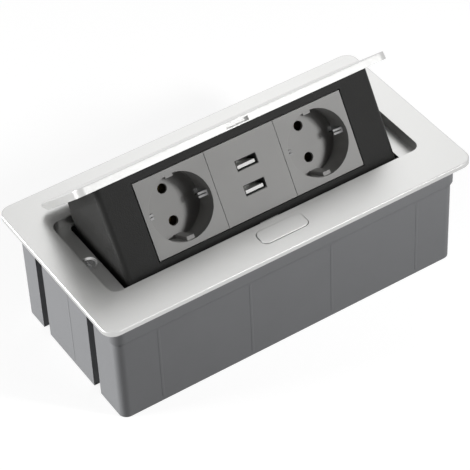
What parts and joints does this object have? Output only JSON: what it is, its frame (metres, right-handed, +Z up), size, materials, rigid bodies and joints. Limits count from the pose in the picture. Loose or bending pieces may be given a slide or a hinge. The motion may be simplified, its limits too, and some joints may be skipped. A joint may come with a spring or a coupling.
{
  "type": "in-desk power module",
  "caption": "Flush desk power module with a satin silver flange and a flip-up lid, open, showing earthed sockets and charging ports.",
  "frame": {"origin": "centre of the flange outline, at the level of the housing floor", "axes": "+X along the long side, to the right seen from the sockets; +Y to the back, towards the hinge; +Z up"},
  "size_m": [0.24, 0.12, 0.1245],
  "materials": {
    "satin_metal": "satin silver paint on die-cast metal",
    "grey_housing": "fine matte texture",
    "screw_steel": "zinc plated",
    "spring_steel": "bright drawn",
    "black_plastic": "fine matte texture",
    "module_grey": "smooth matte",
    "contact_brass": "plain",
    "board_green": "solder mask",
    "port_steel": "plated",
    "white_plastic": "smooth",
    "core_tape": "taped winding",
    "pin_steel": "ground",
    "black_rubber": "matte"
  },
  "bodies": {
    "base": {"frame": "satin_metal", "housing": "grey_housing", "ledge_screws": "screw_steel", "latch_strip": "spring_steel", "latch_screws": "screw_steel", "hinge_pin_left": "pin_steel", "hinge_pin_right": "pin_steel", "torsion_spring_left": "spring_steel", "torsion_spring_right": "spring_steel", "cable_grommet": "black_rubber"},
    "button": {"push_button": "satin_metal"},
    "flipper": {"lid": "satin_metal", "lid_screws": "screw_steel", "flipper_body": "black_plastic", "back_cover": "black_plastic", "cover_screws": "screw_steel", "socket_left": "module_grey", "socket_right": "module_grey", "usb_plate": "module_grey", "earth_clip_left": "spring_steel", "earth_clip_right": "spring_steel", "socket_base_left": "black_plastic", "socket_base_right": "black_plastic", "live_contact_left": "contact_brass", "neutral_contact_left": "contact_brass", "live_contact_right": "contact_brass", "neutral_contact_right": "contact_brass", "usb_board": "board_green", "usb_port_upper": "port_steel", "usb_port_lower": "port_steel", "usb_tongue_upper": "white_plastic", "usb_tongue_lower": "white_plastic", "usb_transformer": "core_tape", "terminal_block": "white_plastic", "cord_clamp": "white_plastic", "clamp_screws": "screw_steel"}
  },
  "joints": [
    {"name": "flip", "type": "hinge", "parent": "base", "child": "flipper", "pos_m": [0, 0.0443, 0.0601], "axis": [1, 0, 0], "range_deg": [0, 43.5], "stiffness_Nm_per_rad": 0.35, "springref_deg": -114.59, "deforming": ["torsion_spring_left", "torsion_spring_right"]},
    {"name": "button_press", "type": "slide", "parent": "base", "child": "button", "axis": [0, 0, -1], "range_m": [0, 0.002], "stiffness_N_per_m": 500, "springref_m": -0.001, "deforming": ["latch_strip"]}
  ]
}
